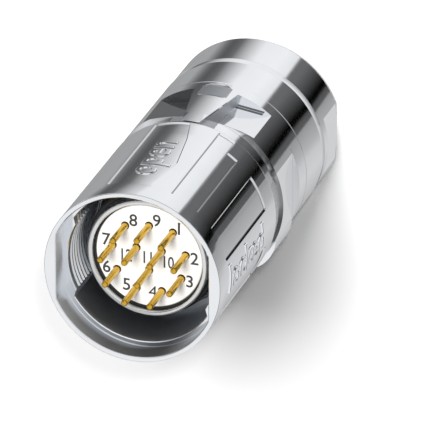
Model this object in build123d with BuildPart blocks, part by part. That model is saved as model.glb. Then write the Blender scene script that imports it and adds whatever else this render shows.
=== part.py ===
from build123d import *
import os
from math import cos, radians, sin

# A straight cable connector for signals, with twelve pins and a quarter-turn locking sleeve.
# It stands on the rear face of its cable nut. The origin is the centre of that face, and +Z
# runs along the axis to the mating face. Lengths are millimetres and angles are degrees.
# A bearing is an angle clockwise from the index wedge, as seen by someone who looks into
# the mating face. The wedge is at -Y, and bearing 90 is at -X.

# Clearances
running_gap = 0.08
body_gap = 0.3
seat_gap = 0.1
snug_gap = 0.05
sliver = 0.01

# Envelope: the whole length, and the sleeve's length and radius
overall_length = 58.0
sleeve_length = 26.0
sleeve_radius = 13.45

# Steps of the outside, from the sleeve back to the nut
housing_step = 0.05
strip_step = 0.5
nut_step = 0.1

# Walls and steps of the turned bores
sleeve_wall = 1.17
relief_wall = 1.5
thread_wall = 2.3
pocket_wall = 0.6
pocket_flat_wall = 1.8
mating_gap = 1.9
shroud_wall = 1.05
shroud_lip_wall = 0.75
nut_wall = 1.75
rear_spigot_wall = 1.1
clamp_room = 3.3

# Lengths along the axis
nut_length = 9.0
nut_floor = 2.6
collar_gap = 0.3
pocket_depth = 3.8
stop_collar_length = 1.7
shroud_setback = 6.7
face_setback = 1.0
pin_setback = 2.0
spigot_length = 9.0
shoulder_depth = 2.0
flange_thickness = 2.0
barrel_overhang = 2.5
rear_spigot_length = 6.1

# Grip zone of the housing: wrench flats, thumb scoops, index wedge and two low lobes
grip_length = 11.0
flat_depth = 1.1
scoop_depth = 2.0
scoop_bearing = 8.3
scoop_ramp = 1.2
wedge_front_half = 1.25
wedge_rear_half = 3.4
wedge_length = 12.2
lobe_bearing = 130.0
lobe_radius = 6.0
lobe_height = 0.8
strip_length = 2.5
strip_bevel = 0.6
seam_offset = 3.5
seam_width = 0.24
seam_depth = 0.12
tile_width = 5.2
tile_height = 3.8
tile_offset = 0.6
tile_line = 0.3
tile_depth = 0.15

# Rear nut
nut_rear_chamfer = 0.8
collar_bevel = 0.6
nut_flat_depth = 0.8
nut_flat_length = 6.7

# Locking sleeve: rim, sunk panels, bore relief and stop slot
rim_chamfer = 0.2
panel_depth = 0.2
panel_setback = 3.8
panel_length = 18.2
panel_centre_bearings = (30.8, 65.5, 114.5)
panel_bearing_widths = (20.4, 24.0, 24.0)
arrow_panel_bearings = (-22.0, 6.7, 11.6, 6.7, 1.6, -22.0)
arrow_panel_setbacks = (3.8, 3.8, 12.6, 20.4, 25.5, 25.5)
relief_bearing_width = 116.0
lock_turn = 90.0
stop_bearing = 150.0
stop_bearing_width = 10.0
stop_bearing_play = 1.0
stop_height = 0.45
stop_length = 1.3

# Retaining ring of the sleeve
ring_offset = 5.0
ring_thickness = 1.0
ring_depth = 0.55
ring_reach = 0.45
ring_opening_bearing = 30.0

# Detent
detent_bearing = 180.0
detent_offset = 2.5
ball_radius = 0.75
ball_proud = 0.3
ball_pocket_depth = 2.3
dimple_gap = 0.25
spring_radius = 0.5
spring_wire_radius = 0.09
spring_pitch = 0.32

# Contacts
pin_edge = 2.45
key_pin_shift = 0.8
inner_pin_circle = 2.24
outer_pin_count = 8
outer_pin_bearing_step = 40.0
inner_pin_bearings = (60.0, 180.0, 300.0)
pin_radius = 0.5
pin_seat_radius = 0.6
pin_tip_round = 0.32
barrel_radius = 1.0
barrel_bore_radius = 0.65
barrel_bore_depth = 5.5
pin_collar_radius = 1.1
pin_collar_length = 1.0

# Seals and the clamping stack behind the insert
shroud_edge = 0.2
shroud_lip_depth = 1.3
carrier_edge = 0.15
shroud_oring_offset = 2.8
shroud_oring_radius = 0.5
shroud_oring_groove_depth = 0.35
shroud_oring_groove_width = 1.2
nut_oring_radius = 0.4
nut_oring_seat_depth = 0.85
nut_oring_seat_length = 1.0
face_seal_thickness = 0.8
face_seal_gap = 0.35
retainer_thickness = 1.4
retainer_overlap = 0.55
washer_thickness = 1.4
cage_length = 8.0
cage_ring_length = 2.6
cage_wall = 1.5
cage_slot_count = 12
cage_slot_width = 1.2
shield_thickness = 2.0
shield_step = 0.6
seal_length = 7.6
seal_step = 0.4
seal_groove_depth = 0.35
seal_groove_width = 1.0
seal_groove_count = 3

# Radii that follow: sleeve, housing and nut
housing_radius = sleeve_radius - housing_step
strip_radius = housing_radius - strip_step
nut_radius = housing_radius - nut_step
sleeve_bore_radius = sleeve_radius - sleeve_wall
spigot_radius = sleeve_bore_radius - running_gap
thread_bore_radius = sleeve_radius - thread_wall
relief_radius = sleeve_radius - relief_wall
pocket_radius = sleeve_radius - pocket_wall
pocket_flat_half = sleeve_radius - pocket_flat_wall
flat_half_width = housing_radius - flat_depth
lobe_reach = housing_radius + lobe_height
nut_flat_half = nut_radius - nut_flat_depth
nut_thread_radius = nut_radius - nut_wall
rear_spigot_radius = nut_thread_radius - snug_gap
rear_bore_radius = rear_spigot_radius - rear_spigot_wall
cable_bore_radius = rear_bore_radius - clamp_room
nut_oring_seat_radius = rear_spigot_radius + nut_oring_seat_depth
ball_reach = spigot_radius + ball_proud - ball_radius
ball_pocket_floor = spigot_radius - ball_pocket_depth
ball_pocket_radius = ball_radius + seat_gap
beyond = 2 * sleeve_radius

# Radii that follow: shroud, insert and clamping stack
shroud_radius = thread_bore_radius - mating_gap
shroud_bore_radius = shroud_radius - shroud_wall
shroud_lip_radius = shroud_radius - shroud_lip_wall
groove_radius = shroud_radius - shroud_oring_groove_depth
face_seal_radius = thread_bore_radius - face_seal_gap
carrier_radius = shroud_bore_radius - snug_gap
stack_radius = rear_bore_radius - seat_gap
seal_bore_radius = cable_bore_radius + seal_step
retainer_bore_radius = carrier_radius - retainer_overlap
shield_bore_radius = cable_bore_radius + shield_step
outer_pin_circle = carrier_radius - pin_edge
key_pin_circle = outer_pin_circle - key_pin_shift

# Stations that follow, from the front back
shroud_front = overall_length - shroud_setback
carrier_face = shroud_front - face_setback
pin_tip = overall_length - pin_setback
ledge_station = overall_length - pocket_depth
shroud_oring_station = shroud_front - shroud_oring_offset
sleeve_low = overall_length - sleeve_length
spigot_front = sleeve_low + spigot_length
sleeve_shoulder = spigot_front + body_gap
relief_low = sleeve_shoulder + stop_collar_length
panel_low = overall_length - panel_setback - panel_length
carrier_joint = spigot_front
ring_station = sleeve_low + ring_offset
detent_station = sleeve_low + detent_offset
insert_shoulder = sleeve_low - shoulder_depth
flange_low = insert_shoulder - flange_thickness
retainer_low = flange_low - retainer_thickness
crimp_end = flange_low - barrel_overhang
strip_high = sleeve_low - body_gap
strip_low = strip_high - strip_length
grip_high = strip_low - strip_bevel
grip_low = sleeve_low - grip_length
wedge_rear_station = sleeve_low - wedge_length
tile_station = wedge_rear_station + tile_offset
seam_station = grip_low - seam_offset

# Stations that follow, from the rear face up
collar_station = nut_length + collar_gap
rear_spigot_low = collar_station - rear_spigot_length
nut_oring_station = collar_station - nut_oring_radius - snug_gap
cage_low = nut_floor + washer_thickness
cage_high = cage_low + cage_length

pin_places = [(outer_pin_circle, outer_pin_bearing_step * step) for step in range(1, outer_pin_count + 1)]
pin_places += [(key_pin_circle, 0.0)]
pin_places += [(inner_pin_circle, bearing) for bearing in inner_pin_bearings]


def around(radius, bearing):
    """The X and Y of a point at a radius and a bearing."""
    return -radius * sin(radians(bearing)), -radius * cos(radians(bearing))


def meridian(bearing):
    """A plane through the axis whose local x points outwards at a bearing, and local y up."""
    x, y = around(1, bearing)
    return Plane(origin=(0, 0, 0), x_dir=(x, y, 0), z_dir=(y, -x, 0))


def facing(bearing):
    """An upright plane through the axis that faces outwards at a bearing, with local y up."""
    x, y = around(1, bearing)
    return Plane(origin=(0, 0, 0), x_dir=(-y, x, 0), z_dir=(x, y, 0))


def sector(inner, outer, low, high, bearing, width):
    """A block of a ring between two radii and two stations, centred on a bearing."""
    with BuildPart() as block:
        with BuildSketch(meridian(bearing + width / 2)):
            with Locations(((inner + outer) / 2, (low + high) / 2)):
                Rectangle(outer - inner, high - low)
        revolve(axis=Axis.Z, revolution_arc=width)
    return block.part


def ring(inner, outer, low, high):
    """A plain ring between two radii and two stations."""
    with BuildPart() as band:
        with BuildSketch(Plane.XY.offset(low)):
            Circle(outer)
            Circle(inner, mode=Mode.SUBTRACT)
        extrude(amount=high - low)
    return band.part


def torus_ring(centre_radius, wire_radius, station):
    """A ring of round section at a station."""
    with BuildPart() as band:
        with BuildSketch(Plane.XZ):
            with Locations((centre_radius, station)):
                Circle(wire_radius)
        revolve(axis=Axis.Z)
    return band.part


def arrow_panel(turn):
    """The room of a sunk panel with an arrow's outline, made for the wedge's bearing and turned about +Z."""
    with BuildPart() as room:
        with BuildSketch(facing(0)):
            with BuildLine():
                Polyline(
                    [
                        (-sleeve_radius * sin(radians(bearing)), overall_length - setback)
                        for bearing, setback in zip(arrow_panel_bearings, arrow_panel_setbacks)
                    ],
                    close=True,
                )
            make_face()
        extrude(amount=beyond)
        add(ring(sleeve_radius - panel_depth, beyond, sleeve_low, overall_length), mode=Mode.INTERSECT)
    return room.part.rotate(Axis.Z, turn)


def finish(piece, name):
    """Label a piece and write its file."""
    piece.label = name
    export_step(piece, f"parts/{name}.step")


os.makedirs("parts", exist_ok=True)

# Cable nut: a turned cap with a bevelled rear edge, two flats and the cable's opening
with BuildPart() as rear_nut:
    with BuildSketch(Plane.XZ):
        with BuildLine():
            Polyline(
                (cable_bore_radius, 0),
                (nut_radius - nut_rear_chamfer, 0),
                (nut_radius, nut_rear_chamfer),
                (nut_radius, nut_length - collar_bevel),
                (nut_radius - collar_bevel, nut_length),
                (nut_oring_seat_radius, nut_length),
                (nut_oring_seat_radius, nut_length - nut_oring_seat_length),
                (nut_thread_radius, nut_length - nut_oring_seat_length),
                (nut_thread_radius, nut_floor),
                (cable_bore_radius, nut_floor),
                close=True,
            )
        make_face()
    revolve(axis=Axis.Z)
    with BuildSketch(Plane.XY):
        Circle(beyond)
        Rectangle(2 * nut_flat_half, 2 * beyond, mode=Mode.SUBTRACT)
    extrude(amount=nut_flat_length, mode=Mode.SUBTRACT)
finish(rear_nut.part, "rear_nut")

# The index wedge, narrow at the sleeve and broad behind, as a prism through the outside
with BuildPart() as wedge_block:
    with BuildSketch(facing(0)):
        with BuildLine():
            Polyline(
                (-wedge_front_half, sleeve_low),
                (wedge_front_half, sleeve_low),
                (wedge_rear_half, wedge_rear_station),
                (wedge_rear_half, collar_station),
                (-wedge_rear_half, collar_station),
                (-wedge_rear_half, wedge_rear_station),
                close=True,
            )
        make_face()
    extrude(amount=beyond)

# The wedge's point, full height across the low strip
with BuildPart() as wedge_point:
    add(ring(spigot_radius, housing_radius, grip_high, strip_high))
    add(wedge_block.part, mode=Mode.INTERSECT)

# The thumb scoops: a flat floor with an upright back each side of the wedge, and a ramp in
# front that ends at the strip
with BuildPart() as scoops:
    scoop_floor = housing_radius - scoop_depth
    for side in (-1, 1):
        with BuildSketch(meridian(side * scoop_bearing)):
            with BuildLine():
                Polyline(
                    (beyond, wedge_rear_station),
                    (beyond, strip_low),
                    (strip_radius, strip_low),
                    (scoop_floor, strip_low - scoop_ramp),
                    (scoop_floor, wedge_rear_station),
                    close=True,
                )
            make_face()
        extrude(amount=beyond, both=True)
    add(wedge_block.part, mode=Mode.SUBTRACT)

# The shallow groove round the bare tile on the wedge
with BuildPart() as tile_groove:
    with BuildSketch(facing(0).offset(housing_radius - tile_depth)):
        with Locations((0, tile_station)):
            Rectangle(tile_width, tile_height)
            Rectangle(tile_width - 2 * tile_line, tile_height - 2 * tile_line, mode=Mode.SUBTRACT)
    extrude(amount=beyond)

# Housing: the die-cast middle body, with a threaded spigot behind and the sleeve's spigot
with BuildPart() as housing:
    with BuildSketch(Plane.XZ):
        with BuildLine():
            Polyline(
                (0, rear_spigot_low),
                (rear_spigot_radius, rear_spigot_low),
                (rear_spigot_radius, collar_station),
                (housing_radius - collar_bevel, collar_station),
                (housing_radius, collar_station + collar_bevel),
                (housing_radius, seam_station - seam_width / 2),
                (housing_radius - seam_depth, seam_station),
                (housing_radius, seam_station + seam_width / 2),
                (housing_radius, grip_high),
                (strip_radius, strip_low),
                (strip_radius, strip_high),
                (spigot_radius, strip_high),
                (spigot_radius, spigot_front),
                (0, spigot_front),
                close=True,
            )
        make_face()
    revolve(axis=Axis.Z)
    # Two low lobes stand proud of the grip zone
    for side in (-1, 1):
        with BuildSketch(Plane.XY.offset(grip_low)):
            with Locations(around(lobe_reach - lobe_radius, side * lobe_bearing)):
                Circle(lobe_radius)
        extrude(amount=grip_high - grip_low)
    # Wrench flats left and right
    with BuildSketch(Plane.XY.offset(grip_low)):
        Circle(beyond)
        Rectangle(2 * flat_half_width, 2 * beyond, mode=Mode.SUBTRACT)
    extrude(amount=grip_high - grip_low, mode=Mode.SUBTRACT)
    add(scoops.part, mode=Mode.SUBTRACT)
    add(wedge_point.part)
    # A bare tile on the wedge, outlined by a shallow groove
    add(tile_groove.part, mode=Mode.SUBTRACT)
    # Bores for the shroud and for the wires behind it
    with BuildSketch(Plane.XY.offset(rear_spigot_low)):
        Circle(rear_bore_radius)
    extrude(amount=insert_shoulder - rear_spigot_low, mode=Mode.SUBTRACT)
    with BuildSketch(Plane.XY.offset(insert_shoulder)):
        Circle(shroud_radius + snug_gap)
    extrude(amount=spigot_front - insert_shoulder, mode=Mode.SUBTRACT)
    # Groove of the sleeve's retaining ring
    add(
        ring(
            spigot_radius - ring_depth - seat_gap,
            beyond,
            ring_station - ring_thickness / 2 - snug_gap,
            ring_station + ring_thickness / 2 + snug_gap,
        ),
        mode=Mode.SUBTRACT,
    )
    # Radial pocket of the detent
    with BuildSketch(facing(detent_bearing).offset(ball_pocket_floor)):
        with Locations((0, detent_station)):
            Circle(ball_pocket_radius)
    extrude(amount=spigot_radius, mode=Mode.SUBTRACT)
    # Stop lug, which limits the sleeve's turn
    add(
        sector(
            spigot_radius - snug_gap,
            spigot_radius + stop_height,
            strip_high,
            sleeve_low + stop_length - body_gap,
            stop_bearing,
            stop_bearing_width,
        )
    )
finish(housing.part, "housing")

# Locking sleeve: turns a quarter of a turn on the housing's front spigot
with BuildPart() as locking_sleeve:
    with BuildSketch(Plane.XZ):
        with BuildLine():
            Polyline(
                (sleeve_bore_radius, sleeve_low),
                (sleeve_radius, sleeve_low),
                (sleeve_radius, overall_length - 2 * rim_chamfer),
                (sleeve_radius - rim_chamfer, overall_length),
                (thread_bore_radius, overall_length),
                (thread_bore_radius, sleeve_shoulder),
                (sleeve_bore_radius, sleeve_shoulder),
                close=True,
            )
        make_face()
    revolve(axis=Axis.Z)
    # Relief of the bore above and below the two thread lands
    for bearing in (0.0, 180.0):
        add(
            sector(shroud_radius, relief_radius, relief_low, ledge_station, bearing, relief_bearing_width),
            mode=Mode.SUBTRACT,
        )
    # Mouth pocket: round, with two flats
    with BuildSketch(Plane.XY.offset(ledge_station)):
        Circle(pocket_radius)
        Rectangle(2 * pocket_flat_half, 2 * beyond, mode=Mode.INTERSECT)
    extrude(amount=overall_length - ledge_station, mode=Mode.SUBTRACT)
    # Sunk grip panels and an arrow panel that points the way the sleeve opens, each made twice
    for turn in (0.0, 180.0):
        for centre, width in zip(panel_centre_bearings, panel_bearing_widths):
            add(
                sector(
                    sleeve_radius - panel_depth,
                    beyond,
                    panel_low,
                    overall_length - panel_setback,
                    centre + turn,
                    width,
                ),
                mode=Mode.SUBTRACT,
            )
        add(arrow_panel(turn), mode=Mode.SUBTRACT)
    # Slot for the stop lug, a quarter of a turn longer than the lug
    add(
        sector(
            spigot_radius - running_gap,
            spigot_radius + stop_height + seat_gap,
            sleeve_low,
            sleeve_low + stop_length,
            stop_bearing + lock_turn / 2,
            stop_bearing_width + lock_turn + 2 * stop_bearing_play,
        ),
        mode=Mode.SUBTRACT,
    )
    # Groove of the retaining ring
    add(
        ring(
            spigot_radius - running_gap,
            spigot_radius + ring_reach + seat_gap,
            ring_station - ring_thickness / 2 - seat_gap,
            ring_station + ring_thickness / 2 + seat_gap,
        ),
        mode=Mode.SUBTRACT,
    )
    # Track of the detent ball, with a dimple at each end of the turn
    add(
        sector(
            spigot_radius - running_gap,
            spigot_radius + ball_proud + snug_gap,
            detent_station - ball_radius - seat_gap,
            detent_station + ball_radius + seat_gap,
            detent_bearing + lock_turn / 2,
            lock_turn,
        ),
        mode=Mode.SUBTRACT,
    )
    for turn in (0.0, lock_turn):
        with Locations((*around(ball_reach, detent_bearing + turn), detent_station)):
            Sphere(ball_radius + dimple_gap, mode=Mode.SUBTRACT)
finish(locking_sleeve.part, "locking_sleeve")

# Split ring that holds the sleeve on its spigot
with BuildPart() as sleeve_retaining_ring:
    add(
        ring(
            spigot_radius - ring_depth,
            spigot_radius + ring_reach,
            ring_station - ring_thickness / 2,
            ring_station + ring_thickness / 2,
        )
    )
    add(
        sector(
            shroud_radius,
            beyond,
            ring_station - ring_thickness,
            ring_station + ring_thickness,
            0,
            ring_opening_bearing,
        ),
        mode=Mode.SUBTRACT,
    )
finish(sleeve_retaining_ring.part, "sleeve_retaining_ring")

# Detent ball and its spring, in the housing's radial pocket
with BuildPart() as detent_ball:
    with Locations((*around(ball_reach, detent_bearing), detent_station)):
        Sphere(ball_radius)
finish(detent_ball.part, "detent_ball")

spring_start = ball_pocket_floor + spring_wire_radius
spring_length = ball_reach - ball_radius - ball_pocket_floor - 2 * spring_wire_radius
with BuildPart() as detent_spring:
    with BuildLine() as coil:
        Helix(
            spring_pitch,
            spring_length,
            spring_radius,
            center=(*around(spring_start, detent_bearing), detent_station),
            direction=(*around(1, detent_bearing), 0),
        )
    with BuildSketch(Plane(origin=coil.line @ 0, z_dir=coil.line % 0)):
        Circle(spring_wire_radius)
    sweep(is_frenet=True)
finish(detent_spring.part, "detent_spring")

# Insert shroud: the metal tube round the insert, with a rear flange and a seal groove
with BuildPart() as insert_shroud:
    with BuildSketch(Plane.XZ):
        with BuildLine():
            Polyline(
                (shroud_bore_radius, flange_low),
                (stack_radius, flange_low),
                (stack_radius, insert_shoulder),
                (shroud_radius, insert_shoulder),
                (shroud_radius, shroud_oring_station - shroud_oring_groove_width / 2),
                (groove_radius, shroud_oring_station - shroud_oring_groove_width / 2),
                (groove_radius, shroud_oring_station + shroud_oring_groove_width / 2),
                (shroud_radius, shroud_oring_station + shroud_oring_groove_width / 2),
                (shroud_radius, shroud_front - shroud_edge),
                (shroud_radius - shroud_edge, shroud_front),
                (shroud_lip_radius, shroud_front),
                (shroud_lip_radius, carrier_face - shroud_lip_depth),
                (shroud_bore_radius, carrier_face - shroud_lip_depth),
                close=True,
            )
        make_face()
    revolve(axis=Axis.Z)
finish(insert_shroud.part, "insert_shroud")

with BuildPart() as shroud_oring:
    add(torus_ring(groove_radius + shroud_oring_radius + sliver, shroud_oring_radius, shroud_oring_station))
finish(shroud_oring.part, "shroud_oring")

# Thin gasket between the front carrier and the shroud's lip
with BuildPart() as insert_gasket:
    add(
        ring(
            carrier_radius + snug_gap,
            shroud_lip_radius - snug_gap,
            carrier_face - shroud_lip_depth + sliver,
            carrier_face,
        )
    )
finish(insert_gasket.part, "insert_gasket")

# Flat seal at the bottom of the gap that takes the mating connector's rim
with BuildPart() as face_seal:
    add(
        ring(
            shroud_radius + seat_gap,
            face_seal_radius,
            spigot_front,
            spigot_front + face_seal_thickness,
        )
    )
finish(face_seal.part, "face_seal")

# Contact carriers: the front one shows its face, and the rear one holds the crimp barrels
with BuildPart() as carrier_front:
    with BuildSketch(Plane.XY.offset(carrier_joint)):
        Circle(carrier_radius)
        for radius, bearing in pin_places:
            with Locations(around(radius, bearing)):
                Circle(pin_seat_radius + snug_gap, mode=Mode.SUBTRACT)
    extrude(amount=carrier_face - carrier_joint)
    chamfer(
        carrier_front.edges().group_by(Axis.Z)[-1].sort_by(SortBy.LENGTH)[-1],
        length=carrier_edge,
    )
finish(carrier_front.part, "carrier_front")

with BuildPart() as carrier_rear:
    with BuildSketch(Plane.XY.offset(flange_low)):
        Circle(carrier_radius)
        for radius, bearing in pin_places:
            with Locations(around(radius, bearing)):
                Circle(barrel_radius + snug_gap, mode=Mode.SUBTRACT)
    extrude(amount=carrier_joint - flange_low)
    with BuildSketch(Plane.XY.offset(carrier_joint)):
        for radius, bearing in pin_places:
            with Locations(around(radius, bearing)):
                Circle(pin_collar_radius + snug_gap)
    extrude(amount=-pin_collar_length, mode=Mode.SUBTRACT)
finish(carrier_rear.part, "carrier_rear")

# Contact pins: a rounded pin, a tapered seat in the front carrier, a collar and a crimp barrel
for number, (radius, bearing) in enumerate(pin_places, start=1):
    x, y = around(radius, bearing)
    with BuildPart() as contact_pin:
        with BuildSketch(Plane(origin=(x, y, 0), x_dir=(1, 0, 0), z_dir=(0, -1, 0))) as section:
            with BuildLine():
                Polyline(
                    (0, pin_tip),
                    (0, crimp_end + barrel_bore_depth),
                    (barrel_bore_radius, crimp_end + barrel_bore_depth),
                    (barrel_bore_radius, crimp_end),
                    (barrel_radius, crimp_end),
                    (barrel_radius, carrier_joint - pin_collar_length),
                    (pin_collar_radius, carrier_joint - pin_collar_length),
                    (pin_collar_radius, carrier_joint),
                    (pin_seat_radius, carrier_joint),
                    (pin_radius, carrier_face),
                    (pin_radius, pin_tip),
                    close=True,
                )
            make_face()
            fillet(section.vertices().group_by(Axis.Y)[-1].sort_by(Axis.X)[-1], radius=pin_tip_round)
        revolve(axis=Axis((x, y, 0), (0, 0, 1)))
    finish(contact_pin.part, f"contact_pin_{number:02d}")

# Retainer behind the shroud's flange, and the shield ring behind the wire space
with BuildPart() as insert_retaining_ring:
    add(ring(retainer_bore_radius, stack_radius, retainer_low, flange_low))
finish(insert_retaining_ring.part, "insert_retaining_ring")

with BuildPart() as shield_ring:
    add(ring(shield_bore_radius, stack_radius, cage_high, cage_high + shield_thickness))
finish(shield_ring.part, "shield_ring")

# Clamping stack on the nut's floor: washer, slotted cage and the cable's rubber seal
with BuildPart() as pressure_washer:
    add(ring(seal_bore_radius, stack_radius, nut_floor, cage_low))
finish(pressure_washer.part, "pressure_washer")

with BuildPart() as clamp_cage:
    add(ring(stack_radius - cage_wall, stack_radius, cage_low, cage_high))
    with BuildSketch(Plane.XY.offset(cage_low)):
        with PolarLocations(stack_radius - cage_wall / 2, cage_slot_count):
            Rectangle(2 * cage_wall, cage_slot_width)
    extrude(amount=cage_length - cage_ring_length, mode=Mode.SUBTRACT)
finish(clamp_cage.part, "clamp_cage")

with BuildPart() as cable_seal:
    add(ring(seal_bore_radius, stack_radius - cage_wall - snug_gap, cage_low, cage_low + seal_length))
    for groove in range(seal_groove_count):
        station = cage_low + seal_length * (groove + 1) / (seal_groove_count + 1)
        add(
            ring(
                cable_bore_radius,
                seal_bore_radius + seal_groove_depth,
                station - seal_groove_width / 2,
                station + seal_groove_width / 2,
            ),
            mode=Mode.SUBTRACT,
        )
finish(cable_seal.part, "cable_seal")

# Ring seal between the cable nut and the housing
with BuildPart() as nut_oring:
    add(torus_ring(rear_spigot_radius + nut_oring_radius + sliver, nut_oring_radius, nut_oring_station))
finish(nut_oring.part, "nut_oring")
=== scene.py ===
from math import atan2, cos, degrees, radians, sin

import bmesh
import bpy
from mathutils import Matrix, Vector


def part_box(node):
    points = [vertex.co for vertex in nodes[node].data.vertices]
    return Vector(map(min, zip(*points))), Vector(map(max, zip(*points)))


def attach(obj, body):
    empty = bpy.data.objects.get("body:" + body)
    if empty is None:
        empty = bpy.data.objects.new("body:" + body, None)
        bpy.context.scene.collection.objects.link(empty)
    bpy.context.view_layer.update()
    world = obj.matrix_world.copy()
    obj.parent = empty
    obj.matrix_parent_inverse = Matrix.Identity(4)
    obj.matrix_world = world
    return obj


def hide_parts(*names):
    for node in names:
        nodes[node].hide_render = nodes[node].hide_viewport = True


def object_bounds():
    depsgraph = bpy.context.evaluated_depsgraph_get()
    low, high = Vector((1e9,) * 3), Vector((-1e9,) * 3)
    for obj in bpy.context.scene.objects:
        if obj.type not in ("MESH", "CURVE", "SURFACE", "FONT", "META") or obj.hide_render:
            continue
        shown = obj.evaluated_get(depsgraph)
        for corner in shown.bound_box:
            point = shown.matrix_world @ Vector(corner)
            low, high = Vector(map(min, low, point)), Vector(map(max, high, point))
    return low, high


# The looks of a circular connector that stands on its cable nut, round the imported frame.
# Lengths are millimetres here and become metres where a mesh or a shader gets them.
# A bearing is an angle in degrees, clockwise from the index wedge for someone who looks into
# the mating face. The wedge is at -Y, and bearing 90 is at -X.
# A station is a distance back from the sleeve's front rim, and a height is measured from the floor.

MM = 0.001

# Camera: its turn and tilt away from straight above, and its distance from the rim's centre
CAMERA_TURN = 18.58
CAMERA_TILT = 25.77
CAMERA_DISTANCE = 1080.0
SENSOR = 36.0
# Picture: pixels for a millimetre at the rim, its longer side in pixels, and how far the rim's
# centre lies right of and below its middle
PICTURE_SCALE = 6.929
PICTURE_LONG_SIDE = 444
PICTURE_SHIFT_RIGHT = -12.527
PICTURE_SHIFT_DOWN = 8.113

# Floor: half its width, its tone where it throws light back, and its tone in the picture
FLOOR_HALF = 1500.0
FLOOR_LIT = 0.8
FLOOR_SEEN = 1.02
# Key lamp, high on the wedge's side: its direction, distance, width and watts
KEY_DIRECTION = (-2.6, -25.0, 58.0)
KEY_DISTANCE = 900.0
KEY_SIZE = 250.0
KEY_POWER = 7.7
# Fill lamp, beside the camera: how far right of it and above it, its width and watts
FILL_SHIFT = (25.0, 31.0)
FILL_SIZE = 50.0
FILL_POWER = 3.0

# World: the level that matt surfaces get from all round. What shiny surfaces show goes by the
# upward part of a direction, from -1 to 1.
AMBIENT = 0.08
# Sky: where it starts and is full, its level, and a darker spot with its direction, its edge and
# core as cosines, and its level
SKY_START = 0.1
SKY_END = 0.6
SKY_LEVEL = 0.95
SKY_SHADE = (0.5, -0.25, 0.83)
SKY_SHADE_START = 0.93
SKY_SHADE_END = 0.98
SKY_SHADE_LEVEL = 0.06
# Light and dark cards below the belt, which also fade into the sky above it: the bearing of
# the turned metal that shows a card's corner to the camera, and the level there. From left to
# right they are a grey card, a dark gap, a white card with one soft and one hard edge, a dark
# card that fades to black, and a grey card with a lighter middle. The level steps between 58
# and 62, because the turn round the world starts again there.
CARDS = (
    (-56, 0.1),
    (-54.5, 0.35),
    (-26, 0.4),
    (-18, 0.15),
    (-14, 0.1),
    (-8, 0.15),
    (8, 0.95),
    (22, 1.0),
    (31, 0.9),
    (32.5, 0.15),
    (38, 0.15),
    (53, 0.0),
    (56, 0.0),
    (58, 0.1),
    (62, 0.35),
    (74, 0.5),
    (80, 0.65),
    (90, 0.7),
    (112, 0.5),
    (118, 0.4),
    (120.5, 0.05),
)
# Softer cards in a belt, for walls that are seen from the side: where the belt starts, is full,
# starts to fade and ends, then the turn round the world and the level of each card
BELT_LIMITS = (-0.74, -0.62, -0.1, 0.1)
BELT = (
    (0, 0.3),
    (24, 0.62),
    (40, 0.82),
    (56, 0.5),
    (66, 0.14),
    (84, 0.09),
    (100, 0.3),
    (136, 0.46),
    (158, 0.78),
    (176, 0.42),
    (188, 0.12),
    (206, 0.1),
    (222, 0.34),
    (252, 0.5),
    (276, 0.85),
    (292, 0.44),
    (304, 0.1),
    (322, 0.08),
    (340, 0.26),
)

# Outside of the locking sleeve: its size, the depth of its sunk panels with their ramps along
# the axis, and the rounding of its two rims in a number of steps
SLEEVE_LENGTH = 26.0
SLEEVE_RADIUS = 13.45
PANEL_DEPTH = 0.2
PANEL_RAMP = 0.2
FRONT_ROUND = 0.15
REAR_ROUND = 0.2
ROUND_STEPS = 4
# Panels of one half: first and last bearing, first and last station, and the width of the ramp
# at each bearing. The last bearing of the first one is the line that is moved onto an arrow's
# side, and the third panel lengthens the second.
PANEL_FRONT = 3.8
PANEL_REAR = 22.0
ARROW_FRONT = 3.8
ARROW_REAR = 25.5
ARROW_LINE = 3.5
PANELS = (
    (-22.0, ARROW_LINE, ARROW_FRONT, ARROW_REAR, 0.35, 0.16),
    (20.6, 41.0, PANEL_FRONT, PANEL_REAR, 0.2, 0.2),
    (20.6, 33.0, PANEL_FRONT, ARROW_REAR, 0.2, 0.2),
    (53.5, 77.5, PANEL_FRONT, PANEL_REAR, 0.2, 0.35),
    (102.5, 126.5, PANEL_FRONT, PANEL_REAR, 0.35, 0.2),
)
# Arrow: the bearing of its side at four stations, and the bearings where grid lines start to
# follow it, follow it fully, still do and no longer do
ARROW_SIDE = ((3.8, 6.7), (12.6, 11.6), (20.4, 6.7), (25.5, 1.6))
ARROW_REACH = (-12.0, 2.5, 12.5, 20.0)
# Grid of the sleeve: its first line's bearing, the step between plain lines, and the distance
# of a supporting line from an edge
FIRST_COLUMN = -46
COLUMN_STEP = 4
SUPPORT = 0.06

# Mouth of the sleeve, round with two flats. The flats' edge is the bearing of their grid lines.
POCKET_DEPTH = 3.8
POCKET_RADIUS = 12.7
POCKET_FLAT_HALF = 11.65
POCKET_FLAT_EDGE = 65.0
INNER_BEVEL = 0.12
# Two thread lands with reliefs between them. The profile of a turn, from its rear to its front,
# is in shares of the pitch and of the depth.
LAND_RADIUS = 11.15
LAND_LOW = 58.0
LAND_HIGH = 122.0
LAND_RAMP = 4.0
RELIEF_RADIUS = 11.95
RELIEF_END = 15.0
COLLAR_END = 16.7
THREAD_FIRST = 4.85
THREAD_PITCH = 1.0
THREAD_DEPTH = 0.35
THREAD_TURNS = 10
THREAD_PROFILE = ((0.75, 0.0), (0.5, 1.0), (0.25, 1.0), (0.0, 0.0))
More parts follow.
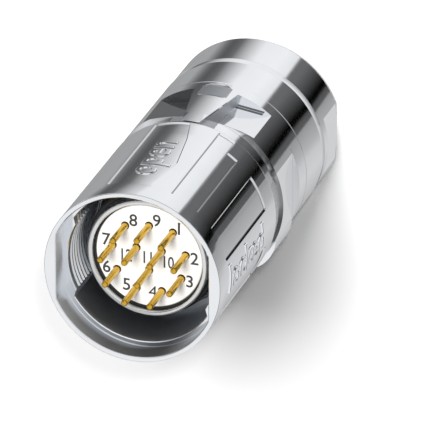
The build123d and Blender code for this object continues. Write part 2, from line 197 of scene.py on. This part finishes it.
# Running bore, with the stop's slot, the detent's track and the groove of the retaining ring.
# Slot and track have a first and a last bearing with a ramp inside each, and ends are stations
# from the rear on. The corner is the distance between two rings at a step of the section.
BORE_RADIUS = 12.28
SLOT_RADIUS = 12.75
TRACK_RADIUS = 12.55
SLOT_RAMP = 0.5
STOP_SLOT = (144.0, 246.0)
STOP_SLOT_END = 24.7
DETENT_TRACK = (180.0, 270.0)
DETENT_TRACK_ENDS = (24.35, 22.65)
RING_GROOVE_ENDS = (21.6, 20.4)
CORNER = 0.03
# Faces of the sleeve that meet at more than this angle have a sharp edge.
SLEEVE_SHARP = 30

# Letters: the steps of their curves and of their rounded edges
LETTER_STEPS = 4
LETTER_EDGE_STEPS = 1
# Words on the sleeve: the text, the station where it starts, its length, its baseline's bearing,
# and the radius of its top
WORDS = (
    ("open", 7.3, 11.9, 2.2, SLEEVE_RADIUS - PANEL_DEPTH + 0.16),
    ("locked", 4.4, 15.6, 99.5, SLEEVE_RADIUS + 0.24),
)
# Their rounded edge and thickness as shares of a line's height, the longest edge that is left
# whole when they are wrapped, the rounds of cutting, and the angle of a sharp edge
WORD_BEVEL = 0.03
WORD_EXTRUSION = 0.02
WORD_SPAN = 0.6
WORD_CUTS = 3
WORD_SHARP = 40

# Numbers on the insert's face: their height, how far they stand out, how much narrower a pair
# of digits is, their thickness before it is set, and how much thicker their strokes are made,
# which the 4 goes without
NUMBER_HEIGHT = 1.95
NUMBER_THICKNESS = 0.02
NUMBER_PAIR_WIDTH = 0.75
NUMBER_EXTRUSION = 0.01
NUMBER_STROKE = 0.012
# Contacts: the radius and bearing of each, and its number's offset from it, right and up as seen
# from the front
OUTER_CIRCLE = 5.7
NINTH_RADIUS = 4.9
INNER_CIRCLE = 2.24
CONTACTS = {
    "1": (OUTER_CIRCLE, 40.0, 0.93, 0.73),
    "2": (OUTER_CIRCLE, 80.0, 1.34, -0.37),
    "3": (OUTER_CIRCLE, 120.0, 1.27, -0.31),
    "4": (OUTER_CIRCLE, 160.0, -1.40, -0.35),
    "5": (OUTER_CIRCLE, 200.0, -1.54, 0.27),
    "6": (OUTER_CIRCLE, 240.0, -1.61, 0.19),
    "7": (OUTER_CIRCLE, 280.0, -0.95, 0.75),
    "8": (OUTER_CIRCLE, 320.0, 1.26, 1.04),
    "9": (NINTH_RADIUS, 0.0, 1.19, 0.97),
    "10": (INNER_CIRCLE, 60.0, 1.09, -1.70),
    "11": (INNER_CIRCLE, 180.0, -0.22, 1.97),
    "12": (INNER_CIRCLE, 300.0, -1.52, -1.47),
}

# Soft edges of some CAD nodes: their width and steps, the angle from which an edge gets one, and
# how near to each other points are joined first
SOFT_NODES = ("housing", "rear_nut", "insert_shroud")
SOFT_EDGE = 0.12
SOFT_STEPS = 2
SOFT_ANGLE = 28
WELD_REACH = 0.001

# How a kind of material varies: the noise of its tone and of its gloss, each as features in a
# metre and detail, and the detail and strength of its grain
METAL = {"metallic": 1.0, "tone": (180.0, 3.0), "gloss": (900.0, 4.0), "grain": (3.0, 0.5)}
PLASTIC = {"metallic": 0.0, "tone": (260.0, 3.0), "gloss": (1500.0, 3.0), "grain": (3.0, 0.4)}
# Materials: the kind, a dark and a light tone, the lowest and highest roughness, and the grain's
# features in a metre and height
MATERIALS = {
    "nickel": (METAL, (0.81, 0.83, 0.86), (0.88, 0.897, 0.922), (0.06, 0.13), 250.0, 0.004),
    "cast_nickel": (METAL, (0.81, 0.83, 0.86), (0.88, 0.897, 0.922), (0.06, 0.13), 250.0, 0.004),
    "inner_nickel": (METAL, (0.68, 0.71, 0.75), (0.78, 0.81, 0.85), (0.30, 0.42), 1500.0, 0.006),
    "satin_nickel": (METAL, (0.72, 0.72, 0.72), (0.80, 0.80, 0.80), (0.18, 0.28), 1200.0, 0.004),
    "gold": (METAL, (0.59, 0.345, 0.033), (0.72, 0.46, 0.055), (0.16, 0.28), 2500.0, 0.006),
    "steel": (METAL, (0.45, 0.45, 0.46), (0.58, 0.58, 0.58), (0.25, 0.4), 2500.0, 0.01),
    "white_plastic": (PLASTIC, (0.86, 0.85, 0.82), (0.91, 0.90, 0.87), (0.38, 0.5), 3000.0, 0.02),
    "black_plastic": (PLASTIC, (0.03, 0.03, 0.03), (0.05, 0.05, 0.05), (0.4, 0.55), 3000.0, 0.02),
    "rubber": (PLASTIC, (0.012, 0.012, 0.012), (0.022, 0.022, 0.022), (0.5, 0.65), 4000.0, 0.02),
}
# The CAD nodes in each material, apart from the pins
DRESSES = {
    "cast_nickel": ("housing",),
    "nickel": ("rear_nut",),
    "satin_nickel": ("insert_shroud", "shield_ring"),
    "white_plastic": ("carrier_front", "carrier_rear"),
    "rubber": ("shroud_oring", "insert_gasket", "face_seal", "cable_seal", "nut_oring"),
    "steel": ("sleeve_retaining_ring", "detent_ball", "detent_spring", "pressure_washer"),
    "black_plastic": ("insert_retaining_ring", "clamp_cage"),
}

# Zones of the housing with their own tone and roughness, each on both sides of the middle: limits
# of the distance from the middle, of Y and of height, then a tone and a roughness. The tile on the
# wedge and the wedge's sides are darker and matt. The foot of the scoops' backs has painted shade
# as a dark line, the ledges of the wrench flats have painted shade in place of a bright reflection,
# and the strip below the sleeve's rear rim has painted light over a dark band and a matt finish.
PAINTED_LIGHT_AND_MATT_ZONES = (
    (((-0.1, 2.3), (-14.0, -12.9), (18.8, 22.0)), (0.5, 0.52, 0.55), 0.4),
    (((1.2, 3.5), (-12.94, -11.1), (19.85, 32.1)), (0.62, 0.64, 0.67), 0.5),
    # Painted shadow: a dark line at the foot of the scoops' backs
    (((2.9, 7.4), (-11.08, -9.4), (19.85, 20.5)), (0.13, 0.14, 0.15), 0.35),
    # Painted shade: a darker tone on the wrench flats' ledges, in place of a bright reflection
    (((12.0, 13.6), (-6.5, 6.5), (20.9, 21.1)), (0.69, 0.695, 0.7), 0.25),
    # Painted light: a lighter tone on the strip below the sleeve's rear rim, over a dark band
    (((8.5, 13.6), (-4.5, 13.6), (29.2, 31.8)), (0.9, 0.91, 0.93), 0.5),
)
# Painted shade on the bottom of the sleeve's mouth, a darker tone on its wall: its lowest and
# highest height, the Y where it starts and is full, and its tone
MOUTH_PAINTED_SHADE_HEIGHTS = (54.4, 57.7)
MOUTH_PAINTED_SHADE_Y = (4.5, 12.0)
MOUTH_PAINTED_SHADE_TONE = (0.26, 0.27, 0.285)

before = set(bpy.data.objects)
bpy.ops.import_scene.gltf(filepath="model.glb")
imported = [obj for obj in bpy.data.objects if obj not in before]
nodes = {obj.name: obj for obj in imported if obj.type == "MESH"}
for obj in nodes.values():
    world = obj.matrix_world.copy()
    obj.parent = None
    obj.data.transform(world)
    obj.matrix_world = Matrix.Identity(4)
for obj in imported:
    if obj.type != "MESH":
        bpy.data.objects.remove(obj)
cad_low, cad_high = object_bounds()


def new_object(name, data):
    """An object in the scene."""
    made = bpy.data.objects.new(name, data)
    bpy.context.scene.collection.objects.link(made)
    return made


def camera_axes():
    """The directions right, up and forward of the photo's viewpoint."""
    turn = radians(CAMERA_TURN)
    tilt = radians(CAMERA_TILT)
    forward = Vector((sin(turn) * cos(tilt), sin(tilt), -cos(turn) * cos(tilt)))
    up = Vector((sin(turn) * sin(tilt), -cos(tilt), -cos(turn) * sin(tilt)))
    return forward.cross(up), up, forward


def add_camera():
    """The camera at the photo's viewpoint, aimed so that the front rim falls where it does there."""
    right, up, forward = camera_axes()
    rim_centre = Vector((0, 0, cad_high.z / MM))
    place = rim_centre - forward * CAMERA_DISTANCE - right * PICTURE_SHIFT_RIGHT + up * PICTURE_SHIFT_DOWN
    data = bpy.data.cameras.new("camera")
    data.sensor_width = SENSOR
    data.lens = SENSOR * PICTURE_SCALE * CAMERA_DISTANCE / PICTURE_LONG_SIDE
    camera = new_object("camera", data)
    turned = Matrix((right, up, -forward)).transposed().to_4x4()
    camera.matrix_world = Matrix.Translation(place * MM) @ turned
    bpy.context.scene.camera = camera


def around(radius, bearing, station):
    """A point at a radius, a bearing and a station, in metres."""
    turn = radians(bearing)
    height = cad_high.z / MM - station
    return Vector((-radius * sin(turn), -radius * cos(turn), height)) * MM


def as_bearing(length):
    """The bearing that a length on the sleeve's outside spans."""
    return degrees(length / SLEEVE_RADIUS)


def plateau(value, low, high, ramp, far_ramp=None):
    """1 between two limits and 0 outside them, with a ramp inside each limit."""
    return min(max(min((value - low) / ramp, (high - value) / (far_ramp or ramp)), 0.0), 1.0)


def follow(points, place):
    """The height of a line through (place, height) points."""
    for (start, low), (end, high) in zip(points, points[1:]):
        if place <= end:
            return low + (high - low) * max(place - start, 0.0) / (end - start)
    return points[-1][1]


def opposite(zones):
    """Zones, and the same ones half a turn further."""
    return zones + tuple((low + 180, high + 180, *rest) for low, high, *rest in zones)


def outer_radius(bearing, station):
    """The radius of the sleeve's outside, lower in its panels."""
    shares = [
        min(
            plateau(bearing, low, high, *map(as_bearing, ramps)),
            plateau(station, front, rear, PANEL_RAMP),
        )
        for low, high, front, rear, *ramps in opposite(PANELS)
    ]
    return SLEEVE_RADIUS - PANEL_DEPTH * max(shares)


def arrow_bearing(bearing, station):
    """A bearing, moved so that the lines beside an arrow follow its side."""
    inside = bearing % 180
    if inside > 90:
        inside -= 180
    start, full, still, end = ARROW_REACH
    share = min((inside - start) / (full - start), (end - inside) / (end - still), 1.0)
    along = min(max(station, ARROW_SIDE[0][0]), ARROW_SIDE[-1][0])
    shift = follow(ARROW_SIDE, along) - ARROW_LINE
    return bearing + shift * max(share, 0.0)


def pocket_radius(bearing):
    """The radius of the mouth's pocket, round with two flats."""
    reach = abs(sin(radians(bearing)))
    return POCKET_RADIUS if reach * POCKET_RADIUS < POCKET_FLAT_HALF else POCKET_FLAT_HALF / reach


def land_radius(bearing, radius):
    """A radius on the two thread lands, and the relief's radius between them."""
    share = plateau(bearing % 180, LAND_LOW, LAND_HIGH, LAND_RAMP)
    return RELIEF_RADIUS + (radius - RELIEF_RADIUS) * share


def slot_radius(bearing, slot, radius):
    """A radius inside a slot, and the running bore's radius beside it."""
    return BORE_RADIUS + (radius - BORE_RADIUS) * plateau(bearing, *slot, SLOT_RAMP)


def edge_lines(low, high, ramp, far_ramp, support):
    """Grid lines at the edges of a zone, with a supporting line beside each."""
    near = [low - support, low, low + ramp, low + ramp + support]
    return near + [high - far_ramp - support, high - far_ramp, high, high + support]


def sleeve_columns():
    """The bearings of the sleeve's grid lines."""
    support = as_bearing(SUPPORT)
    columns = [FIRST_COLUMN + COLUMN_STEP * step for step in range(360 // COLUMN_STEP)]
    for low, high, _, _, *ramps in opposite(PANELS):
        columns += edge_lines(low, high, *map(as_bearing, ramps), support)
    for turn in (0, 180):
        columns += edge_lines(LAND_LOW + turn, LAND_HIGH + turn, LAND_RAMP, LAND_RAMP, support)
        for edge in (turn + POCKET_FLAT_EDGE, turn - POCKET_FLAT_EDGE):
            columns += [edge - support, edge + support]
    for low, high in (STOP_SLOT, DETENT_TRACK):
        columns += [low, low + SLOT_RAMP, high - SLOT_RAMP, high]
    return sorted({round(FIRST_COLUMN + (column - FIRST_COLUMN) % 360, 3) for column in columns})


def outer_stations():
    """The stations of the grid lines on the sleeve's outside."""
    stations = edge_lines(PANEL_FRONT, PANEL_REAR, PANEL_RAMP, PANEL_RAMP, SUPPORT)
    stations += edge_lines(ARROW_FRONT, ARROW_REAR, PANEL_RAMP, PANEL_RAMP, SUPPORT)
    stations += [station for station, _ in ARROW_SIDE[1:-1]]
    return sorted({round(station, 3) for station in stations})


def even_rings(columns, places):
    """A ring of the sleeve's section at each of some (radius, station) places."""
    return [[(radius, bearing, station) for bearing in columns] for radius, station in places]


def panel_ring(columns, station):
    """A ring of the outside, sunk in its panels and moved beside its arrows."""
    return [
        (outer_radius(bearing, station), arrow_bearing(bearing, station), station)
        for bearing in columns
    ]


def outside_rings(columns):
    """Rings from the front rim over the sleeve's outside to its rear rim."""
    turns = [radians(90 * step / ROUND_STEPS) for step in range(ROUND_STEPS + 1)]
    bend = [(1 - sin(turn), 1 - cos(turn)) for turn in turns]
    front = [(SLEEVE_RADIUS - FRONT_ROUND * down, FRONT_ROUND * along) for down, along in bend]
    panels = [panel_ring(columns, station) for station in outer_stations()]
    rear = [
        (SLEEVE_RADIUS - REAR_ROUND * down, SLEEVE_LENGTH - REAR_ROUND * along)
        for down, along in reversed(bend)
    ]
    rear.append((SLOT_RADIUS + INNER_BEVEL, SLEEVE_LENGTH))
    return even_rings(columns, front) + panels + even_rings(columns, rear)


def slotted_rings(columns, slot, radius, stations):
    """Rings of the running bore with one slot in them."""
    return [
        [(slot_radius(bearing, slot, radius), bearing, station) for bearing in columns]
        for station in stations
    ]


def bore_rings(columns):
    """Rings of the running bore, from the rear rim to the collar in front of it."""
    rear, front = DETENT_TRACK_ENDS
    stop = slotted_rings(columns, STOP_SLOT, SLOT_RADIUS, (SLEEVE_LENGTH - INNER_BEVEL, STOP_SLOT_END))
    behind = [(BORE_RADIUS, STOP_SLOT_END - CORNER), (BORE_RADIUS, rear + CORNER)]
    track = slotted_rings(columns, DETENT_TRACK, TRACK_RADIUS, (rear, front))
    groove_rear, groove_front = RING_GROOVE_ENDS
    before = [
        (BORE_RADIUS, front - CORNER),
        (BORE_RADIUS, groove_rear),
        (SLOT_RADIUS, groove_rear),
        (SLOT_RADIUS, groove_front),
        (BORE_RADIUS, groove_front),
        (BORE_RADIUS, COLLAR_END),
        (LAND_RADIUS, COLLAR_END),
        (LAND_RADIUS, RELIEF_END + CORNER),
    ]
    return stop + even_rings(columns, behind) + track + even_rings(columns, before)


def thread_rings(columns):
    """Rings of the two thread lands, from the collar to the mouth's pocket."""
    places = [(LAND_RADIUS, RELIEF_END)]
    for turn in reversed(range(THREAD_TURNS)):
        for along, deep in THREAD_PROFILE:
            station = THREAD_FIRST + THREAD_PITCH * (turn + along)
            places.append((LAND_RADIUS + THREAD_DEPTH * deep, station))
    places.append((LAND_RADIUS, POCKET_DEPTH + INNER_BEVEL))
    return [
        [(land_radius(bearing, radius), bearing, station) for bearing in columns]
        for radius, station in places
    ]


def mouth_rings(columns):
    """Rings of the mouth's pocket, from its ledge to the front rim."""
    wall = [pocket_radius(bearing) for bearing in columns]
    ledge = [
        min(land_radius(bearing, LAND_RADIUS) + INNER_BEVEL, radius - CORNER)
        for bearing, radius in zip(columns, wall)
    ]
    rim = [radius + INNER_BEVEL for radius in wall]
    places = ((ledge, POCKET_DEPTH), (wall, POCKET_DEPTH), (wall, INNER_BEVEL), (rim, 0.0))
    return [
        [(radius, bearing, station) for radius, bearing in zip(radii, columns)]
        for radii, station in places
    ]


def sleeve_rings(columns):
    """Rings of (radius, bearing, station) round the sleeve's closed section, and the numbers of
    the dull rows of faces on its inside. A row has the number of the first of its two rings. The
    two rows of the ledge in the mouth stay bright."""
    outside = outside_rings(columns)
    inside = bore_rings(columns) + thread_rings(columns)
    inside_start = len(outside)
    mouth_start = inside_start + len(inside)
    pocket_wall = mouth_start + 1
    dull = {*range(inside_start, mouth_start - 1), pocket_wall}
    return outside + inside + mouth_rings(columns), dull


def sharpen(mesh, angle):
    """Smooth shading, with a sharp edge where two faces meet at more than an angle."""
    mesh.shade_smooth()
    mesh.set_sharp_from_angle(angle=radians(angle))


def add_sleeve(outside, inside):
    """The locking sleeve, with its sunk panels, mouth and thread."""
    columns = sleeve_columns()
    rings, dull_rows = sleeve_rings(columns)
    width = len(columns)
    vertices = [around(*place) for ring in rings for place in ring]
    faces = []
    for row in range(len(rings)):
        below = (row + 1) % len(rings) * width
        for column in range(width):
            beside = (column + 1) % width
            faces.append((row * width + column, row * width + beside, below + beside, below + column))
    mesh = bpy.data.meshes.new("sleeve_body")
    mesh.from_pydata(vertices, [], faces)
    work = bmesh.new()
    work.from_mesh(mesh)
    bmesh.ops.recalc_face_normals(work, faces=work.faces)
    work.to_mesh(mesh)
    work.free()
    mesh.materials.append(outside)
    mesh.materials.append(inside)
    for number, polygon in enumerate(mesh.polygons):
        polygon.material_index = int(number // width in dull_rows)
    sharpen(mesh, SLEEVE_SHARP)
    piece = new_object("sleeve_body", mesh)
    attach(piece, "sleeve")
    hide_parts("locking_sleeve")


def text_mesh(text, bevel, extrude, offset):
    """The mesh of a text in the plain built-in letters, one unit to the line."""
    curve = bpy.data.curves.new(text, "FONT")
    curve.body = text
    curve.resolution_u = LETTER_STEPS
    curve.bevel_depth = bevel
    curve.bevel_resolution = LETTER_EDGE_STEPS
    curve.extrude = extrude
    curve.offset = offset
    holder = new_object(text, curve)
    drawn = holder.evaluated_get(bpy.context.evaluated_depsgraph_get())
    mesh = bpy.data.meshes.new_from_object(drawn)
    bpy.data.objects.remove(holder)
    bpy.data.curves.remove(curve)
    return mesh


def span(mesh, axis):
    """The lowest and highest coordinate of a mesh along an axis."""
    values = [vertex.co[axis] for vertex in mesh.vertices]
    return min(values), max(values)


def cut_long_edges(work, scale):
    """Divide a text's long edges, so that it can be wrapped. The scale is millimetres for a unit."""
    bmesh.ops.triangulate(work, faces=work.faces)
    for _ in range(WORD_CUTS):
        long_edges = [edge for edge in work.edges if edge.calc_length() * scale > WORD_SPAN]
        bmesh.ops.subdivide_edges(work, edges=long_edges, cuts=1)
        bmesh.ops.triangulate(work, faces=work.faces)


def add_words(material):
    """The words wrapped on the sleeve, raised with rounded edges."""
    for text, start, length, baseline, top in WORDS:
        mesh = text_mesh(text, WORD_BEVEL, WORD_EXTRUSION, 0.0)
        left, right = span(mesh, 0)
        scale = length / (right - left)
        ground = top - (WORD_BEVEL + WORD_EXTRUSION) * scale
        work = bmesh.new()
        work.from_mesh(mesh)
        cut_long_edges(work, scale)
        for vertex in work.verts:
            along, across, height = vertex.co * scale
            bearing = baseline - degrees(across / ground)
            vertex.co = around(ground + height, bearing, start + along - left * scale)
        work.to_mesh(mesh)
        work.free()
        mesh.materials.append(material)
        sharpen(mesh, WORD_SHARP)
        piece = new_object(f"word_{text}", mesh)
        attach(piece, "sleeve")


def add_numbers(material):
    """The plain numbers beside the contacts, printed on the insert's face."""
    _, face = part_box("carrier_front")
    for text, (radius, bearing, right, up) in CONTACTS.items():
        mesh = text_mesh(text, 0.0, NUMBER_EXTRUSION, 0.0 if text == "4" else NUMBER_STROKE)
        first, last = span(mesh, 0)
        low, high = span(mesh, 1)
        scale = NUMBER_HEIGHT / (high - low)
        wide_scale = scale * (NUMBER_PAIR_WIDTH if len(text) > 1 else 1.0)
        turn = radians(bearing)
        x = -radius * sin(turn) - right
        y = -radius * cos(turn) - up
        for vertex in mesh.vertices:
            along = (vertex.co.x - (first + last) / 2) * wide_scale
            across = (vertex.co.y - (low + high) / 2) * scale
            height = face.z / MM + (NUMBER_THICKNESS if vertex.co.z > 0 else -NUMBER_THICKNESS)
            vertex.co = Vector((x - along, y - across, height)) * MM
        mesh.materials.append(material)
        piece = new_object(f"number_{text}", mesh)
        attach(piece, "body")


def soften(name):
    """Round a CAD node's edges a little, by modifiers alone."""
    piece = nodes[name]
    weld = piece.modifiers.new("weld", "WELD")
    weld.merge_threshold = WELD_REACH * MM
    bevel = piece.modifiers.new("bevel", "BEVEL")
    bevel.width = SOFT_EDGE * MM
    bevel.segments = SOFT_STEPS
    bevel.limit_method = "ANGLE"
    bevel.angle_limit = radians(SOFT_ANGLE)
    bevel.harden_normals = False
    normals = piece.modifiers.new("normals", "WEIGHTED_NORMAL")
    normals.keep_sharp = True


def grey(level):
    """A grey colour."""
    return (level, level, level, 1)


def feed(tree, value, socket):
    """Link another node's output to a socket, or set a number or colour on it."""
    if isinstance(value, bpy.types.NodeSocket):
        tree.links.new(value, socket)
    else:
        socket.default_value = value


def add_math(tree, operation, *values, clamp=False):
    """The result of a Math node."""
    node = tree.nodes.new("ShaderNodeMath")
    node.operation = operation
    node.use_clamp = clamp
    for value, socket in zip(values, node.inputs):
        feed(tree, value, socket)
    return node.outputs[0]


def add_share(tree, value, start, full):
    """How far a value is on its way from a start to a full place, 0 before it and 1 after it."""
    way = add_math(tree, "SUBTRACT", value, start)
    return add_math(tree, "DIVIDE", way, full - start, clamp=True)


def add_within(tree, value, limits):
    """1 where a value in metres lies between two limits in millimetres, and 0 elsewhere."""
    low, high = limits
    return add_math(tree, "COMPARE", value, (low + high) / 2 * MM, (high - low) / 2 * MM)


def add_range(tree, value, low, high, start=0.0, end=1.0, kind="LINEAR"):
    """A value between a start and an end, brought to the range from low to high."""
    node = tree.nodes.new("ShaderNodeMapRange")
    node.interpolation_type = kind
    settings = {"Value": value, "From Min": start, "From Max": end, "To Min": low, "To Max": high}
    for name, setting in settings.items():
        feed(tree, setting, node.inputs[name])
    return node.outputs["Result"]


def add_ramp(tree, factor, stops):
    """A colour ramp through (place, grey level) stops."""
    node = tree.nodes.new("ShaderNodeValToRGB")
    elements = node.color_ramp.elements
    while len(elements) > 1:
        elements.remove(elements[-1])
    for number, (place, level) in enumerate(sorted(stops)):
        element = elements[0] if number == 0 else elements.new(place)
        element.position = place
        element.color = grey(level)
    feed(tree, factor, node.inputs[0])
    return node.outputs[0]


def add_mix(tree, factor, first, second, kind="RGBA"):
    """A mix of two colours or numbers: the first at a factor of 0, the second at 1."""
    node = tree.nodes.new("ShaderNodeMix")
    node.data_type = kind
    for name, value in (("Factor", factor), ("A", first), ("B", second)):
        feed(tree, value, node.inputs[name])
    return node.outputs["Result"]


def add_noise(tree, scale, detail):
    """Noise in the object's own space, with a scale in features for each metre."""
    coordinate = tree.nodes.new("ShaderNodeTexCoord")
    noise = tree.nodes.new("ShaderNodeTexNoise")
    noise.inputs["Scale"].default_value = scale
    noise.inputs["Detail"].default_value = detail
    feed(tree, coordinate.outputs["Object"], noise.inputs["Vector"])
    return noise.outputs["Fac"]


def add_bump(tree, shader, height, distance, strength):
    """A bump of a height in metres on a shader."""
    node = tree.nodes.new("ShaderNodeBump")
    node.inputs["Strength"].default_value = strength
    node.inputs["Distance"].default_value = distance
    feed(tree, height, node.inputs["Height"])
    feed(tree, node.outputs[0], shader.inputs["Normal"])


def object_place(tree):
    """The X, Y and Z of a surface in the object's own space, in metres."""
    coordinate = tree.nodes.new("ShaderNodeTexCoord")
    split = tree.nodes.new("ShaderNodeSeparateXYZ")
    feed(tree, coordinate.outputs["Object"], split.inputs[0])
    return tuple(split.outputs)


def new_material(name, kind, dark, light, roughness, grain, height):
    """A material whose tone and gloss vary a little, with a fine grain."""
    material = bpy.data.materials.new(name)
    material.use_nodes = True
    tree = material.node_tree
    shader = tree.nodes["Principled BSDF"]
    shader.inputs["Metallic"].default_value = kind["metallic"]
    tone = add_mix(tree, add_noise(tree, *kind["tone"]), (*dark, 1), (*light, 1))
    feed(tree, tone, shader.inputs["Base Color"])
    gloss = add_range(tree, add_noise(tree, *kind["gloss"]), *roughness)
    feed(tree, gloss, shader.inputs["Roughness"])
    detail, strength = kind["grain"]
    add_bump(tree, shader, add_noise(tree, grain, detail), height * MM, strength)
    return material


def repaint(tree, name, mask, value, kind):
    """Bring an input of the Principled shader to a value where a mask is 1."""
    socket = tree.nodes["Principled BSDF"].inputs[name]
    before = socket.links[0].from_socket
    feed(tree, add_mix(tree, mask, before, value, kind), socket)


def add_painted_light_and_matt_zone(material, limits, tone, rough):
    """A tone and a roughness of their own between the limits of a zone, and in its mirror image about
    X = 0. In some zones the tone is painted shade, and in one it is painted light.
    """
    tree = material.node_tree
    x, y, z = object_place(tree)
    mask = 1.0
    for place, pair in zip((add_math(tree, "ABSOLUTE", x), y, z), limits):
        mask = add_math(tree, "MULTIPLY", add_within(tree, place, pair), mask)
    repaint(tree, "Base Color", mask, (*tone, 1), "RGBA")
    repaint(tree, "Roughness", mask, rough, "FLOAT")


def add_mouth_painted_shade(material):
    """Painted shade: a darker tone on the mouth's wall, which grows from its sides to its bottom."""
    tree = material.node_tree
    _, y, z = object_place(tree)
    start, full = MOUTH_PAINTED_SHADE_Y
    share = add_share(tree, y, start * MM, full * MM)
    mask = add_math(tree, "MULTIPLY", share, add_within(tree, z, MOUTH_PAINTED_SHADE_HEIGHTS))
    repaint(tree, "Base Color", mask, (*MOUTH_PAINTED_SHADE_TONE, 1), "RGBA")


def dress(names, material):
    """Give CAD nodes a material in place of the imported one."""
    for name in names:
        slots = nodes[name].data.materials
        slots.clear()
        slots.append(material)


def add_sky(tree, direction):
    """The level of the sky, with its darker spot."""
    near = tree.nodes.new("ShaderNodeVectorMath")
    near.operation = "DOT_PRODUCT"
    feed(tree, direction, near.inputs[0])
    near.inputs[1].default_value = SKY_SHADE
    ends = (SKY_SHADE_START, SKY_SHADE_END)
    return add_range(tree, near.outputs["Value"], SKY_LEVEL, SKY_SHADE_LEVEL, *ends, kind="SMOOTHSTEP")


def card_stops():
    """The (turn, level) stops of the cards. A reflection turns twice as far as its metal does."""
    _, _, forward = camera_axes()
    start = 180 - degrees(atan2(forward.y, forward.x))
    return [((start - 2 * bearing) / 360 % 1, level) for bearing, level in CARDS]


def add_world():
    """White behind the object, cards round it for its reflections, and plain light elsewhere."""
    world = bpy.data.worlds.new("studio")
    bpy.context.scene.world = world
    world.use_nodes = True
    world.cycles.sampling_method = "NONE"
    tree = world.node_tree
    tree.nodes.clear()
    coordinate = tree.nodes.new("ShaderNodeTexCoord")
    direction = coordinate.outputs["Generated"]
    split = tree.nodes.new("ShaderNodeSeparateXYZ")
    feed(tree, direction, split.inputs[0])
    x, y, z = split.outputs
    # The direction's turn about the Z axis, as a share of a whole turn
    turned = add_math(tree, "MULTIPLY_ADD", add_math(tree, "ARCTAN2", y, x), 1 / radians(360), 0.5)
    cards = add_ramp(tree, turned, card_stops())
    belt = add_ramp(tree, turned, [(turn / 360, level) for turn, level in BELT])
    low, full, still, high = BELT_LIMITS
    belted = add_math(tree, "MULTIPLY", add_share(tree, z, low, full), add_share(tree, z, high, still))
    sides = add_mix(tree, belted, cards, belt)
    above = add_share(tree, z, SKY_START, SKY_END)
    shown = add_mix(tree, above, sides, add_sky(tree, direction))
    path = tree.nodes.new("ShaderNodeLightPath")
    plain = add_mix(tree, path.outputs["Is Glossy Ray"], grey(AMBIENT), shown)
    seen = add_mix(tree, path.outputs["Is Camera Ray"], plain, grey(1))
    background = tree.nodes.new("ShaderNodeBackground")
    feed(tree, seen, background.inputs["Color"])
    output = tree.nodes.new("ShaderNodeOutputWorld")
    feed(tree, background.outputs[0], output.inputs["Surface"])


def add_floor():
    """A plain pale floor that keeps the shadow and looks white in the picture."""
    half = FLOOR_HALF * MM
    mesh = bpy.data.meshes.new("floor")
    corners = [(-half, -half, 0), (half, -half, 0), (half, half, 0), (-half, half, 0)]
    mesh.from_pydata(corners, [], [(0, 1, 2, 3)])
    material = bpy.data.materials.new("floor")
    material.use_nodes = True
    tree = material.node_tree
    tree.nodes.clear()
    path = tree.nodes.new("ShaderNodeLightPath")
    tone = add_mix(tree, path.outputs["Is Camera Ray"], grey(FLOOR_LIT), grey(FLOOR_SEEN))
    diffuse = tree.nodes.new("ShaderNodeBsdfDiffuse")
    feed(tree, tone, diffuse.inputs["Color"])
    output = tree.nodes.new("ShaderNodeOutputMaterial")
    feed(tree, diffuse.outputs[0], output.inputs["Surface"])
    mesh.materials.append(material)
    floor = new_object("floor", mesh)
    floor.visible_glossy = False


def add_lamp(name, place, size, power):
    """A square soft lamp at a place, which looks at the object."""
    data = bpy.data.lights.new(name, "AREA")
    data.size = size * MM
    data.energy = power
    lamp = new_object(name, data)
    lamp.location = place * MM
    lamp.rotation_mode = "QUATERNION"
    lamp.rotation_quaternion = place.to_track_quat("Z", "Y")
    lamp.visible_glossy = False


def add_lamps():
    """The key lamp, and a weak fill lamp beside the camera."""
    add_lamp("key", Vector(KEY_DIRECTION).normalized() * KEY_DISTANCE, KEY_SIZE, KEY_POWER)
    right, up, forward = camera_axes()
    shift_right, shift_up = FILL_SHIFT
    place = right * shift_right + up * shift_up - forward * CAMERA_DISTANCE
    add_lamp("fill", place, FILL_SIZE, FILL_POWER)


materials = {name: new_material(name, *finish) for name, finish in MATERIALS.items()}
# Painted shade and painted light in some zones of the housing, with a matt finish
for zone in PAINTED_LIGHT_AND_MATT_ZONES:
    add_painted_light_and_matt_zone(materials["cast_nickel"], *zone)
# Painted shade on the bottom of the mouth's wall
add_mouth_painted_shade(materials["inner_nickel"])
for name, dressed in DRESSES.items():
    dress(dressed, materials[name])
dress([name for name in nodes if name.startswith("contact_pin")], materials["gold"])

add_sleeve(materials["nickel"], materials["inner_nickel"])
add_words(materials["nickel"])
add_numbers(materials["black_plastic"])
for name in SOFT_NODES:
    soften(name)

add_camera()
add_world()
add_floor()
add_lamps()
bpy.context.scene.view_settings.view_transform = "Standard"
